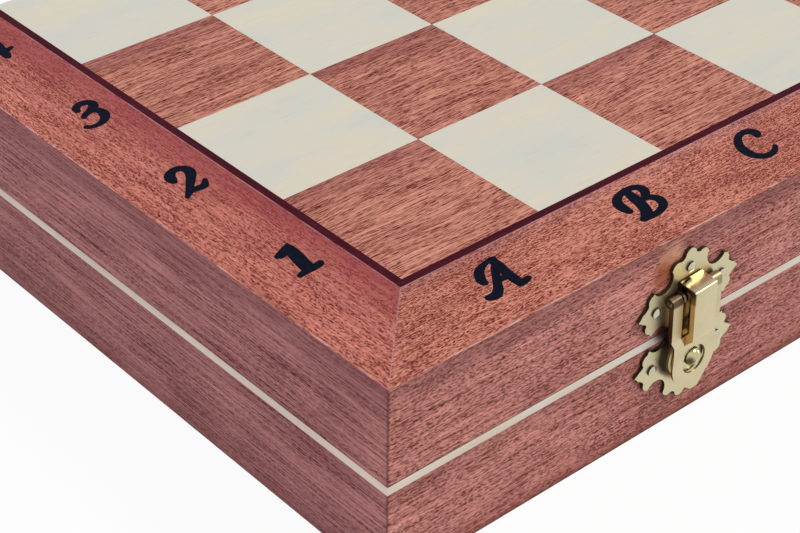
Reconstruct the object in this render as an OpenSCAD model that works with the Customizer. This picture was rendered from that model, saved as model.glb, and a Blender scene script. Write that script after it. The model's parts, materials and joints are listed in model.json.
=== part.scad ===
// Folding chessboard: two shallow wooden trays hinged along the back, closed by two hasp clasps.
// Origin: middle of the closed case on the surface that it rests on. X runs along the clasps
// from file A to file H, Y runs from the clasps to the hinges, Z is up. Millimetres.

/* [Playing field] */
// Side of one square
square = 37.5; // [30:0.5:42]
// Width of the mahogany border round the field
border_w = 23; // [15:0.5:28]
// Width of the dark inlay line between border and field
inlay_w = 2; // [1:0.25:3]
// Joint between neighbouring squares
joint_gap = 0.06; // [0.02:0.02:0.2]
// Thickness of squares, border and inlay
veneer_t = 0.8; // [0.5:0.1:1.5]

/* [Case] */
// Height of one tray from its playing face to its wooden rim
frame_h = 23.3; // [21:0.1:32]
// Thickness of the four rails of a tray
rail_t = 9; // [8.5:0.5:12]
// Thickness of the light lipping on the rim of the lower tray
strip_t = 2; // [1:0.1:3]
// Hairline gap between the lipping and the upper tray
seam_gap = 0.2; // [0.05:0.05:0.4]
// Thickness of the plywood panel under the field
panel_t = 4; // [3:0.5:6]
// How far the panel laps into the rails
panel_lap = 5; // [3:0.5:7]
// Play round the panel in its rebate
panel_fit = 0.1; // [0.05:0.05:0.3]
// Thickness of the felt lining
lining_t = 1; // [0.6:0.1:2]
// Play round the felt lining
lining_fit = 0.3; // [0.1:0.1:1]
// Gap between the back faces of the trays when the board lies open
fold_gap = 0.3; // [0.2:0.1:1]

/* [Hinges] */
// Length of a butt hinge
hinge_len = 38; // [32:1:48]
// Distance from the side of the case to the middle of a hinge
hinge_inset = 62; // [40:1:100]
// Thickness of a hinge leaf
leaf_t = 0.9; // [0.7:0.1:1.4]
// Reach of a leaf from the hinge axis
leaf_reach = 8; // [7:0.25:8.5]
// Diameter of the hinge pin
hinge_pin_d = 2; // [1.4:0.1:2.4]
// Play between neighbouring knuckles
knuckle_gap = 0.15; // [0.1:0.05:0.4]
// Play between barrel or leaf and the wood
hinge_relief = 0.3; // [0.2:0.05:0.6]
// Diameter of a hinge screw's thread
screw_d = 2.2; // [1.6:0.1:2.6]
// Diameter of a hinge screw's countersunk head
screw_head_d = 4; // [3.2:0.1:4.4]
// Length of a hinge screw
screw_len = 10; // [6:0.5:14]
// Distance between the screws of a leaf
screw_pitch = 13; // [10:0.5:15]

/* [Clasps] */
// Distance from the side of the case to the middle of a clasp
clasp_inset = 82.7; // [40:0.1:130]
// Distance of the clasp's middle below the seam
clasp_drop = 0.1; // [0:0.1:1]
// Tilt of the left clasp's upper plate and hasp, as they were nailed on
clasp_tilt = 3.2; // [0:0.2:4]
// Width of a clasp plate over its outer tips
plate_w = 30.2; // [28:0.2:32]
// Thickness of the clasp plates
plate_t = 0.8; // [0.5:0.05:1]
// Thickness of the hasp's sheet
hasp_t = 0.5; // [0.4:0.05:0.6]
// Diameter of the hasp's pin
hasp_pin_d = 1.3; // [1:0.1:1.4]
// Height of the hasp's pin above the clasp's middle
pin_height = 9.4; // [9:0.1:10]
// Play between the hasp's knuckles and the upper plate
knuckle_play = 0.15; // [0.1:0.05:0.4]
// Width of the raised tongue
tongue_w = 6.6; // [5.8:0.2:7]
// How far the tongue stands out from the arms
tongue_rise = 2.2; // [1.6:0.1:2.3]
// Length of the ramp at the tongue's foot
ramp_len = 2.8; // [2:0.1:3.2]
// Height of the tongue's crown above the pin
crown_rise = 2.45; // [2:0.05:2.6]
// How far the crown stays out from the wood
crown_out = 1.1; // [0.95:0.05:1.6]
// How much the crown climbs towards the plate
crown_climb = 0.6; // [0:0.1:0.8]
// Width of one hasp arm
arm_w = 2.9; // [2:0.1:3.2]
// Thickness of an ear of the upper plate
ear_t = 0.6; // [0.4:0.05:0.8]
// Play on each side of an ear
ear_play = 0.3; // [0.1:0.05:0.35]
// Diameter of the hasp's round end
disc_d = 13.2; // [11.8:0.2:13.6]
// Diameter of the hole in the hasp's round end
hole_d = 7; // [6:0.2:7.6]
// How far the round end and its hole sit below the stud
hole_sag = 0.9; // [0:0.1:1]
// Distance from the clasp's middle down to the stud
stud_drop = 7.5; // [7.2:0.1:8]
// Diameter of the stud's dome
stud_d = 3.8; // [3.2:0.1:4.2]
// Play between the stud and the back of the hasp
stud_play = 0.1; // [0.05:0.05:0.2]
// Diameter of the boss that carries the stud
boss_d = 11.8; // [10:0.2:11.8]
// Play between the boss and the back of the hasp
boss_play = 0.35; // [0.3:0.05:0.6]
// Length of the pointed lift lip
lip_len = 3.6; // [3:0.1:4.6]
// Angle of the lift lip away from the wood
lip_angle = 9; // [4:1:25]
// Diameter of a nail's shank
nail_d = 1.1; // [0.8:0.1:1.4]
// Diameter of a nail's head
nail_head_d = 2.4; // [2:0.1:3]
// Height of a nail's head
nail_head_h = 0.8; // [0.5:0.1:1]
// Length of a nail's shank
nail_len = 7.5; // [5:0.5:8]

/* [Fits] */
// Radial play of a pin in a part that turns on it
running_fit = 0.05; // [0.02:0.01:0.1]

/* [Hidden] */
$fn = 48;
// Overshoot of a cut past the face it opens
cut = 1;

files = 8;
ranks = 4;
field_l = files * square;
field_d = ranks * square;
edge_w = border_w + inlay_w;
case_l = field_l + 2 * edge_w;
case_d = field_d + edge_w;
case_h = 2 * frame_h + strip_t + seam_gap;
// Half the distance between the two wooden rims, which is also the hinge axis's distance from each
rim_to_axis = (strip_t + seam_gap) / 2;
seam_z = case_h - frame_h - seam_gap / 2;
panel_z = -veneer_t - panel_t;
rail_outside = rail_t - panel_lap;

axis_y = case_d / 2 + fold_gap / 2;
axis_z = -frame_h - rim_to_axis;
barrel_r = rim_to_axis + leaf_t;
hinge_x = case_l / 2 - hinge_inset;
knuckles = 5;
knuckle_len = (hinge_len - (knuckles - 1) * knuckle_gap) / knuckles;
screw_y = axis_y - (leaf_reach + barrel_r) / 2;

clasp_x = case_l / 2 - clasp_inset;
clasp_z = seam_z - clasp_drop;
// The ornament is drawn for a plate 30.2 wide and follows plate_w
ornament = plate_w / 30.2;
side_nail = [9.95, 7.9] * ornament;
end_nail = [0, 14.75] * ornament;
nail_places = [side_nail, [-side_nail.x, side_nail.y], end_nail];

knuckle_r = hasp_pin_d / 2 + running_fit + hasp_t;
pin_out = plate_t + knuckle_play + knuckle_r;
hasp_front = pin_out + knuckle_r;
hasp_back = hasp_front - hasp_t;
tongue_x = tongue_w / 2;
ear_x = tongue_x + ear_play;
arm_x = ear_x + ear_t + ear_play;
hasp_half_w = arm_x + arm_w;
slot_end = -0.5;
ramp_foot = slot_end - ramp_len;
// The round end runs on in straight lines to the tip of the lip, which is bent where they touch it
end_r = disc_d / 2;
eye_drop = stud_drop + hole_sag;
neck = [end_r - 0.2, slot_end - 1.9];
tip_reach = (lip_len + norm([lip_len, disc_d])) / 2;
touch_angle = acos(end_r / tip_reach);
lip_half_w = end_r * sin(touch_angle);
lip_y = -eye_drop - end_r * cos(touch_angle);
tongue_front = hasp_front + tongue_rise;
crown_y = pin_height + crown_rise;
crown_top = crown_y + crown_climb;
slit = 0.15;
// The crown's inner edge turns round the pin through a window in the plate and a pocket behind it
crown_sweep = norm([crown_top - pin_height, pin_out - crown_out]);
pocket_play = 0.15;
pocket_depth = crown_sweep - pin_out + pocket_play;
window_top = crown_top;
window_bottom = pin_height - knuckle_r;
boss_top = hasp_back - boss_play;
// The boss keeps clear of the end nail's head
boss_r = min(boss_d / 2, end_nail.y - nail_head_d / 2 - stud_drop - 0.1);
// Share of the boss's radius taken by its flat crest
boss_crest = 0.68;
stud_top = hasp_back - stud_play;
stud_shank_r = 1;
// The stud's shank is clinched behind the boss into a flange
clinch_r = 1.4;
clinch_t = 0.4;

mahogany = [0.70, 0.44, 0.37];
mahogany_dark = [0.60, 0.38, 0.35];
maple = [0.84, 0.82, 0.77];
maroon = [0.24, 0.09, 0.12];
plywood = [0.80, 0.68, 0.50];
felt_green = [0.10, 0.30, 0.20];
brass = [0.80, 0.74, 0.58];
steel = [0.60, 0.60, 0.62];

// Places. A tray is drawn with its playing face at z = 0 and its rim below.
module upper() { translate([0, 0, case_h]) children(); }
module lower() { mirror([0, 0, 1]) children(); }
module at_back() { mirror([0, 1, 0]) children(); }
module at_right() { mirror([1, 0, 0]) children(); }

// On the front face: x along the case, y up from the clasp's middle, z out of the wood
module on_front(side) {
    translate([side * clasp_x, -case_d / 2, clasp_z]) rotate([90, 0, 0]) children();
}

// The upper plate and the hasp may sit a little askew on the left
module on_front_upper(side) {
    on_front(side) rotate([0, 0, side < 0 ? clasp_tilt : 0]) children();
}

// A profile drawn as [out of the wood, up], run along x from x0 to x1
module run_along(x0, x1) {
    translate([x0, 0, 0]) rotate([90, 0, 90]) rotate([0, 0, 90]) mirror([0, 1, 0])
        linear_extrude(x1 - x0) children();
}

// Mitred strips, from one distance inside the edge of the case to another
function front_outline(from, to) = [
    [-case_l / 2 + from, -case_d / 2 + from],
    [case_l / 2 - from, -case_d / 2 + from],
    [case_l / 2 - to, -case_d / 2 + to],
    [-case_l / 2 + to, -case_d / 2 + to]
];
// A left-hand strip that is mitred at the back too
function side_outline(from, to) = [
    [-case_l / 2 + from, -case_d / 2 + from],
    [-case_l / 2 + to, -case_d / 2 + to],
    [-case_l / 2 + to, case_d / 2 - to],
    [-case_l / 2 + from, case_d / 2 - from]
];
// A left-hand strip that runs square to the fold
function fold_outline(from, to) = [
    [-case_l / 2 + from, -case_d / 2 + from],
    [-case_l / 2 + to, -case_d / 2 + to],
    [-case_l / 2 + to, case_d / 2],
    [-case_l / 2 + from, case_d / 2]
];

module slab(outline, bottom, top) {
    translate([0, 0, bottom]) linear_extrude(top - bottom) polygon(outline);
}

module panel_block(play, bottom, top) {
    inset = rail_outside + play;
    translate([-case_l / 2 + inset, -case_d / 2 + inset, bottom])
        cube([case_l - 2 * inset, case_d - 2 * inset, top - bottom]);
}

// Wooden pieces of a tray
module rail(outline) {
    color(mahogany_dark) difference() {
        slab(outline, -frame_h, -veneer_t);
        panel_block(0, panel_z, cut);
    }
}

module front_rail() { rail(front_outline(0, rail_t)); }

module back_rail() {
    difference() {
        at_back() rail(front_outline(0, rail_t));
        for (side = [-1, 1]) translate([side * hinge_x, 0, 0]) hinge_mortise();
    }
}

module side_rail() { rail(side_outline(0, rail_t)); }

module panel() { color(plywood) panel_block(panel_fit, panel_z, -veneer_t); }

module border_front() { color(mahogany) slab(front_outline(0, border_w), -veneer_t, 0); }
module border_side() { color(mahogany) slab(fold_outline(0, border_w), -veneer_t, 0); }
module inlay_front() { color(maroon) slab(front_outline(border_w, edge_w), -veneer_t, 0); }
module inlay_side() { color(maroon) slab(fold_outline(border_w, edge_w), -veneer_t, 0); }

// Squares of one colour, seen with the clasps nearest; parity 0 takes the near left corner
module squares(parity) {
    side = square - joint_gap;
    for (f = [0 : files - 1])
        for (r = [0 : ranks - 1])
            if ((f + r) % 2 == parity)
                translate([
                    -field_l / 2 + f * square + joint_gap / 2,
                    case_d / 2 - field_d + r * square + joint_gap / 2,
                    -veneer_t
                ]) cube([side, side, veneer_t]);
}

module lining() {
    inset = rail_t + lining_fit;
    color(felt_green) translate([-case_l / 2 + inset, -case_d / 2 + inset, panel_z - lining_t])
        cube([case_l - 2 * inset, case_d - 2 * inset, lining_t]);
}

// Light lipping on the lower rim, in the tray's own frame
module strip(outline) { color(maple) slab(outline, -frame_h - strip_t, -frame_h); }

module back_strip() {
    difference() {
        at_back() strip(front_outline(0, rail_t));
        for (side = [-1, 1])
            translate([side * hinge_x, case_d / 2, -frame_h - strip_t / 2])
                cube([hinge_len + 2 * hinge_relief, 3 * rail_t, strip_t + cut], center = true);
    }
}

// Hinges, in the tray's own frame
function knuckle_x(k) = -hinge_len / 2 + k * (knuckle_len + knuckle_gap);

module along_axis(r, from, length) {
    translate([from, axis_y, axis_z]) rotate([0, 90, 0]) cylinder(h = length, r = r);
}

module hinge_leaf(own, bore_r) {
    flat = leaf_reach - barrel_r - knuckle_gap;
    color(brass) difference() {
        union() {
            translate([-hinge_len / 2, axis_y - leaf_reach, -frame_h]) cube([hinge_len, flat, leaf_t]);
            for (k = own) {
                translate([knuckle_x(k), axis_y - leaf_reach, -frame_h])
                    cube([knuckle_len, leaf_reach, leaf_t]);
                along_axis(barrel_r, knuckle_x(k), knuckle_len);
            }
        }
        along_axis(bore_r, -hinge_len / 2 - cut, hinge_len + 2 * cut);
        leaf_screws(cut);
    }
}

module fixed_leaf() { hinge_leaf([0, 2, 4], hinge_pin_d / 2); }
module turning_leaf() { hinge_leaf([1, 3], hinge_pin_d / 2 + running_fit); }

module hinge_pin() { color(steel) along_axis(hinge_pin_d / 2, -hinge_len / 2, hinge_len); }

// The three screws of one leaf; over lengthens the heads where they cut the leaf
module leaf_screws(over) {
    for (i = [-1, 0, 1])
        translate([i * screw_pitch, screw_y, -frame_h]) {
            cylinder(h = screw_len, d = screw_d);
            cylinder(h = leaf_t, d1 = screw_head_d, d2 = screw_d);
            translate([0, 0, -over]) cylinder(h = over, d = screw_head_d);
        }
}

module hinge_mortise() {
    length = hinge_len + 2 * hinge_relief;
    along_axis(barrel_r + hinge_relief, -length / 2, length);
    translate([-length / 2, axis_y - leaf_reach - hinge_relief, -frame_h - cut])
        cube([length, leaf_reach + rail_t, leaf_t + cut]);
    leaf_screws(0);
}

module hinge_screws() {
    slot_w = screw_d / 4;
    color(brass) difference() {
        for (side = [-1, 1])
            translate([side * hinge_x, 0, 0])
                for (i = [-1, 0, 1])
                    translate([i * screw_pitch, screw_y, -frame_h]) {
                        cylinder(h = screw_len, d = screw_d);
                        cylinder(h = leaf_t, d1 = screw_head_d, d2 = screw_d);
                    }
        for (side = [-1, 1])
            for (i = [-1, 0, 1])
                translate([side * hinge_x + i * screw_pitch, screw_y, -frame_h])
                    cube([screw_head_d + cut, slot_w, leaf_t], center = true);
    }
}

// Clasps, drawn on the front face with the clasp's middle at the origin
// Half the ornament: a stem, a side lobe with three points and a shoulder below the end point
module half_ornament() {
    difference() {
        union() {
            polygon([
                [0, 1.6], [4.8, 1.6], [6.2, 2], [11.4, 2.4], [12.8, 6.1], [15.1, 7.75],
                [12.4, 10], [10.7, 13.1], [5.4, 16.3], [2, 17.5], [0, 19.6]
            ]);
            for (bulge = [[11.4, 4.7, 1.6], [13, 7.9, 1.4], [10.6, 11.2, 1.6], [3.8, 15.9, 1.6]])
                translate([bulge[0], bulge[1]]) circle(bulge[2]);
            intersection() {
                translate([0, 17.8]) circle(1.6);
                translate([0, 10]) square([10, 15]);
            }
        }
        translate([8.1, 14.6]) circle(3);
        translate([8.8, 0.5]) circle(2.9);
    }
}

module plate_outline() {
    scale(ornament) {
        half_ornament();
        mirror([1, 0]) half_ornament();
    }
}

module plate_sheet() {
    difference() {
        linear_extrude(plate_t) plate_outline();
        for (place = nail_places)
            translate([place.x, place.y, -cut]) cylinder(h = plate_t + 2 * cut, d = nail_d);
    }
}

// Opening for the crown's inner edge
module window(from, to) {
    translate([-ear_x, window_bottom, from]) cube([2 * ear_x, window_top - window_bottom, to - from]);
}

// The upper plate has a window, with an ear bent out at each side to hold the pin
module upper_plate() {
    color(brass) difference() {
        union() {
            difference() {
                plate_sheet();
                window(-cut, plate_t + cut);
            }
            for (side = [0, 1])
                mirror([side, 0, 0]) run_along(ear_x, ear_x + ear_t) {
                    translate([pin_out, pin_height]) circle(knuckle_r);
                    translate([0, pin_height - knuckle_r]) square([pin_out, 2 * knuckle_r]);
                }
        }
        pin_bore(hasp_pin_d / 2);
    }
}

module pin_bore(r) {
    translate([-hasp_half_w - cut, pin_height, pin_out])
        rotate([0, 90, 0]) cylinder(h = 2 * (hasp_half_w + cut), r = r);
}

// Section of the boss's domed wall, at a distance inside its outer face
function boss_wall(inside) = [
    for (a = [0 : 15 : 90]) [
        boss_r * (boss_crest + (1 - boss_crest) * cos(a)) - inside,
        plate_t + (boss_top - plate_t) * sin(a) - (a > 0 ? inside : 0)
    ]
];

// The lower plate has a hollow boss under the stud
module lower_plate() {
    outer = boss_wall(0);
    inner = boss_wall(hasp_t);
    color(brass) difference() {
        union() {
            difference() {
                mirror([0, 1, 0]) plate_sheet();
                translate([0, -stud_drop, -cut]) cylinder(h = 3 * cut, r = inner[0].x);
            }
            translate([0, -stud_drop, 0]) rotate_extrude() polygon(concat(
                [[outer[0].x, 0]], outer, [[0, boss_top], [0, boss_top - hasp_t]],
                [for (i = [len(inner) - 1 : -1 : 0]) inner[i]], [[inner[0].x, 0]]
            ));
        }
        translate([0, -stud_drop, 0]) cylinder(h = boss_top + cut, r = stud_shank_r);
    }
}

// A rivet with a domed head: shank through the boss, clinched behind it
module stud() {
    rise = stud_top - boss_top;
    dome = [for (a = [0 : 15 : 90]) [stud_d / 2 * cos(a), boss_top + rise * sin(a)]];
    behind = boss_top - hasp_t;
    color(brass) translate([0, -stud_drop, 0]) rotate_extrude() polygon(concat(
        [[0, behind - clinch_t], [clinch_r, behind - clinch_t], [clinch_r, behind],
         [stud_shank_r, behind], [stud_shank_r, boss_top]],
        [for (i = [0 : len(dome) - 2]) dome[i]], [[0, stud_top]]
    ));
}

// Round end of the hasp down to the bend of the lift lip
module end_outline() {
    steps = 40;
    arc = (360 - 2 * touch_angle) / steps;
    translate([0, -eye_drop])
        polygon([for (i = [0 : steps]) let (a = touch_angle + i * arc) end_r * [sin(a), -cos(a)]]);
}

// Flat of the hasp: two arms, the neck and the round end
module hasp_flat() {
    difference() {
        union() {
            polygon([
                [-hasp_half_w, pin_height], [-hasp_half_w, slot_end], [-neck.x, neck.y],
                [-neck.x, -eye_drop], [neck.x, -eye_drop], [neck.x, neck.y],
                [hasp_half_w, slot_end], [hasp_half_w, pin_height]
            ]);
            end_outline();
        }
        translate([-arm_x, slot_end]) square([2 * arm_x, pin_height + cut]);
        translate([hasp_t - tongue_x, ramp_foot + hasp_t]) square([2 * (tongue_x - hasp_t), ramp_len]);
        translate([0, -eye_drop]) circle(d = hole_d, $fn = 96);
    }
}

// The lift lip, bent outwards along y = lip_y, with a blunt tip
module lift_lip() {
    tip_w = lip_half_w / 4;
    tip_y = lip_len * (tip_w / lip_half_w - 1);
    translate([0, lip_y, hasp_back]) rotate([-lip_angle, 0, 0]) linear_extrude(hasp_t)
        polygon([[-lip_half_w, 0], [-tip_w, tip_y], [tip_w, tip_y], [lip_half_w, 0]]);
}

// Outer face of the tongue, [out of the wood, up], rising from the flat in a smooth ramp
function tongue_face(inside) = [
    for (t = [0 : 0.125 : 1]) [
        hasp_front + tongue_rise * (1 - cos(180 * t)) / 2 - inside,
        ramp_foot + t * ramp_len + inside / 2
    ]
];

// Side view of the raised tongue with its turned-back crown
module tongue_profile() {
    inner = tongue_face(hasp_t);
    polygon(concat(
        [[hasp_back, ramp_foot]], tongue_face(0),
        [[tongue_front, crown_y - hasp_t], [tongue_front - hasp_t, crown_y],
         [crown_out, crown_top], [crown_out, crown_top - hasp_t],
         [tongue_front - 1.7 * hasp_t, crown_y - hasp_t], [tongue_front - hasp_t, crown_y - 1.5 * hasp_t]],
        [for (i = [len(inner) - 1 : -1 : 0]) inner[i]]
    ));
    translate([tongue_front - hasp_t, crown_y - hasp_t]) circle(hasp_t);
}

// Side view of a tongue flange, closed below by the ramp and above by a slit under the crown
module flange_profile() {
    under = hasp_t + slit;
    polygon(concat(
        [[hasp_back, ramp_foot + hasp_t / 2]], tongue_face(hasp_t / 2),
        [[tongue_front - hasp_t / 2, crown_y - under], [tongue_front - 2 * hasp_t, crown_y - under],
         [crown_out + hasp_t, crown_top - under - slit], [pin_out - knuckle_r, pin_height]]
    ));
    translate([pin_out, pin_height]) circle(knuckle_r);
}

// An arm ends in a knuckle round the pin, and its outer edge is turned back towards the plate
module hasp() {
    color(brass) difference() {
        union() {
            translate([0, 0, hasp_back]) linear_extrude(hasp_t) hasp_flat();
            lift_lip();
            run_along(-tongue_x, tongue_x) tongue_profile();
            for (side = [0, 1])
                mirror([side, 0, 0]) {
                    run_along(tongue_x - hasp_t, tongue_x) flange_profile();
                    run_along(arm_x, hasp_half_w) translate([pin_out, pin_height]) circle(knuckle_r);
                    run_along(hasp_half_w - hasp_t, hasp_half_w)
                        translate([pin_out, slot_end]) square([knuckle_r, pin_height - slot_end]);
                }
        }
        pin_bore(hasp_pin_d / 2 + running_fit);
    }
}

module hasp_pin() {
    color(steel) translate([-hasp_half_w, pin_height, pin_out])
        rotate([0, 90, 0]) cylinder(h = 2 * hasp_half_w, d = hasp_pin_d);
}

// A nail whose head has a straight rim and a domed top
module nail() {
    head_r = nail_head_d / 2;
    rim_h = nail_head_h / 2;
    cap_r = (pow(head_r, 2) + pow(nail_head_h - rim_h, 2)) / (2 * (nail_head_h - rim_h));
    translate([0, 0, plate_t]) intersection() {
        translate([0, 0, nail_head_h - cap_r]) sphere(cap_r);
        cylinder(h = nail_head_h, r = head_r);
    }
    nail_shank(plate_t + rim_h);
}

module nail_shank(top) { translate([0, 0, -nail_len]) cylinder(h = nail_len + top, d = nail_d); }

module upper_nails() {
    for (side = [-1, 1])
        on_front_upper(side) for (place = nail_places) translate(place) children();
}

module lower_nails() {
    for (side = [-1, 1])
        on_front(side) for (place = nail_places) translate([place.x, -place.y]) children();
}

// Lower tray. Rank 8 lies along the clasps, so its near left square is light.
module lower_rail_front() {
    color(mahogany_dark) difference() {
        lower() front_rail();
        lower_nails() nail_shank(0);
    }
}
module lower_rail_back() { lower() back_rail(); }
module lower_rail_left() { lower() side_rail(); }
module lower_rail_right() { lower() at_right() side_rail(); }
module lower_panel() { lower() panel(); }
module lower_border_front() { lower() border_front(); }
module lower_border_left() { lower() border_side(); }
module lower_border_right() { lower() at_right() border_side(); }
module lower_inlay_front() { lower() inlay_front(); }
module lower_inlay_left() { lower() inlay_side(); }
module lower_inlay_right() { lower() at_right() inlay_side(); }
module lower_light_squares() { color(maple) lower() squares(0); }
module lower_dark_squares() { color(mahogany) lower() squares(1); }
module lower_lining() { lower() lining(); }
module strip_front() { lower() strip(front_outline(0, rail_t)); }
module strip_back() { lower() back_strip(); }
module strip_left() { lower() strip(side_outline(0, rail_t)); }
module strip_right() { lower() at_right() strip(side_outline(0, rail_t)); }

// Upper tray. Rank 1 lies along the clasps, so its near left square is dark.
module upper_rail_front() {
    color(mahogany_dark) difference() {
        upper() front_rail();
        upper_nails() nail_shank(0);
        for (side = [-1, 1]) on_front_upper(side) window(-pocket_depth, cut);
    }
}
module upper_rail_back() { upper() back_rail(); }
module upper_rail_left() { upper() side_rail(); }
module upper_rail_right() { upper() at_right() side_rail(); }
module upper_panel() { upper() panel(); }
module upper_border_front() { upper() border_front(); }
module upper_border_left() { upper() border_side(); }
module upper_border_right() { upper() at_right() border_side(); }
module upper_inlay_front() { upper() inlay_front(); }
module upper_inlay_left() { upper() inlay_side(); }
module upper_inlay_right() { upper() at_right() inlay_side(); }
module upper_light_squares() { color(maple) upper() squares(1); }
module upper_dark_squares() { color(mahogany) upper() squares(0); }
module upper_lining() { upper() lining(); }

// Hinges
module hinge_leaf_lower_left() { lower() translate([-hinge_x, 0, 0]) fixed_leaf(); }
module hinge_leaf_upper_left() { upper() translate([-hinge_x, 0, 0]) turning_leaf(); }
module hinge_pin_left() { lower() translate([-hinge_x, 0, 0]) hinge_pin(); }
module hinge_leaf_lower_right() { lower() translate([hinge_x, 0, 0]) fixed_leaf(); }
module hinge_leaf_upper_right() { upper() translate([hinge_x, 0, 0]) turning_leaf(); }
module hinge_pin_right() { lower() translate([hinge_x, 0, 0]) hinge_pin(); }
module hinge_screws_lower() { lower() hinge_screws(); }
module hinge_screws_upper() { upper() hinge_screws(); }

// Clasps
module clasp_plate_upper_left() { on_front_upper(-1) upper_plate(); }
module clasp_plate_lower_left() { on_front(-1) lower_plate(); }
module hasp_left() { on_front_upper(-1) hasp(); }
module hasp_pin_left() { on_front_upper(-1) hasp_pin(); }
module clasp_stud_left() { on_front(-1) stud(); }
module clasp_plate_upper_right() { on_front_upper(1) upper_plate(); }
module clasp_plate_lower_right() { on_front(1) lower_plate(); }
module hasp_right() { on_front_upper(1) hasp(); }
module hasp_pin_right() { on_front_upper(1) hasp_pin(); }
module clasp_stud_right() { on_front(1) stud(); }
module clasp_nails_upper() { color(steel) upper_nails() nail(); }
module clasp_nails_lower() { color(steel) lower_nails() nail(); }

lower_rail_front();
lower_rail_back();
lower_rail_left();
lower_rail_right();
lower_panel();
lower_border_front();
lower_border_left();
lower_border_right();
lower_inlay_front();
lower_inlay_left();
lower_inlay_right();
lower_light_squares();
lower_dark_squares();
lower_lining();
strip_front();
strip_back();
strip_left();
strip_right();
upper_rail_front();
upper_rail_back();
upper_rail_left();
upper_rail_right();
upper_panel();
upper_border_front();
upper_border_left();
upper_border_right();
upper_inlay_front();
upper_inlay_left();
upper_inlay_right();
upper_light_squares();
upper_dark_squares();
upper_lining();
hinge_leaf_lower_left();
hinge_leaf_upper_left();
hinge_pin_left();
hinge_leaf_lower_right();
hinge_leaf_upper_right();
hinge_pin_right();
hinge_screws_lower();
hinge_screws_upper();
clasp_plate_upper_left();
clasp_plate_lower_left();
hasp_left();
hasp_pin_left();
clasp_stud_left();
clasp_plate_upper_right();
clasp_plate_lower_right();
hasp_right();
hasp_pin_right();
clasp_stud_right();
clasp_nails_upper();
clasp_nails_lower();
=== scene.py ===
"""Folding chessboard: the closed case seen from its clasp corner. Metres, in the part's own frame."""
import json
import math

import bmesh
import bpy
import numpy as np
from mathutils import Matrix, Vector
from mathutils.geometry import delaunay_2d_cdt

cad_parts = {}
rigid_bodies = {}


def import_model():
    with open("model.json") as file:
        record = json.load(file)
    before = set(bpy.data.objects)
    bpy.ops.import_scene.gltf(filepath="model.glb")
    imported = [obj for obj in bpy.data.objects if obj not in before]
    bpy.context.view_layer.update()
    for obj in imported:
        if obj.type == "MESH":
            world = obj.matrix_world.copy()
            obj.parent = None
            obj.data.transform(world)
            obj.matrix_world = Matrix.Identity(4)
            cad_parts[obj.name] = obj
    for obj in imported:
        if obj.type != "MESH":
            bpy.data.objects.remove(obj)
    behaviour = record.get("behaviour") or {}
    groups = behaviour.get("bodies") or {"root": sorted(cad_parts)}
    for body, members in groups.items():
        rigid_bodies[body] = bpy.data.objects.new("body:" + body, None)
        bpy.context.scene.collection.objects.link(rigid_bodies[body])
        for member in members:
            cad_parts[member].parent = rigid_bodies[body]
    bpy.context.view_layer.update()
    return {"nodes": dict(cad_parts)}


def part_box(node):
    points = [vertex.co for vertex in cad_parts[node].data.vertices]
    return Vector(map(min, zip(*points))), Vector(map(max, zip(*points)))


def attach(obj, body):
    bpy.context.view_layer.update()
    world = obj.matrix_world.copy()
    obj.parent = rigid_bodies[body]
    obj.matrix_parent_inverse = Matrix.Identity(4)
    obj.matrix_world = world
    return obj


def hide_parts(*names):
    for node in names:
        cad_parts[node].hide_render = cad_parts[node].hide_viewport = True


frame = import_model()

MM = 0.001
SQUARE = 37.5 * MM
CASE_L, CASE_D, CASE_H = 350 * MM, 175 * MM, 48.8 * MM
LEFT, FRONT, BACK = -CASE_L / 2, -CASE_D / 2, CASE_D / 2
BORDER, INLAY, VENEER = 23 * MM, 2 * MM, 0.8 * MM
EDGE = BORDER + INLAY
FIELD_X, FIELD_Y = LEFT + EDGE, FRONT + EDGE  # front left corner of the squares
LIPPING_Z = 24.5 * MM                         # about the middle of the lipping and of the gap over it
CLASP_X, CLASP_Z = 92.3 * MM, 25.3 * MM       # middle of the right clasp; the left one is at -CLASP_X
STUD_Z = CLASP_Z - 7.5 * MM
PIN_Z = CLASP_Z + 9.4 * MM                    # the hasp's pin


# Camera, fitted to the edges, corners and squares of the board in the photo
right = Vector((0.75428164, -0.65646233, 0.01078957))
up = Vector((0.36902614, 0.43749232, 0.8200123))
forward = Vector((0.54302754, 0.61453859, -0.57224419))
eye = Vector((-0.364997, -0.305301, 0.278117))
camera = bpy.data.objects.new("camera", bpy.data.cameras.new("camera"))
bpy.context.scene.collection.objects.link(camera)
camera.matrix_world = Matrix((
    (right.x, up.x, -forward.x, eye.x),
    (right.y, up.y, -forward.y, eye.y),
    (right.z, up.z, -forward.z, eye.z),
    (0, 0, 0, 1),
))
camera.data.sensor_fit = "HORIZONTAL"
camera.data.sensor_width = 36
camera.data.lens = 90.907
camera.data.clip_start = 0.01
bpy.context.scene.camera = camera


# Shader nodes
def colour(r, g, b):
    """Linear colour of an sRGB colour given from 0 to 255."""
    def linear(c):
        return c / 12.92 if c <= 0.04045 else ((c + 0.055) / 1.055) ** 2.4
    return linear(r / 255), linear(g / 255), linear(b / 255), 1


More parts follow.
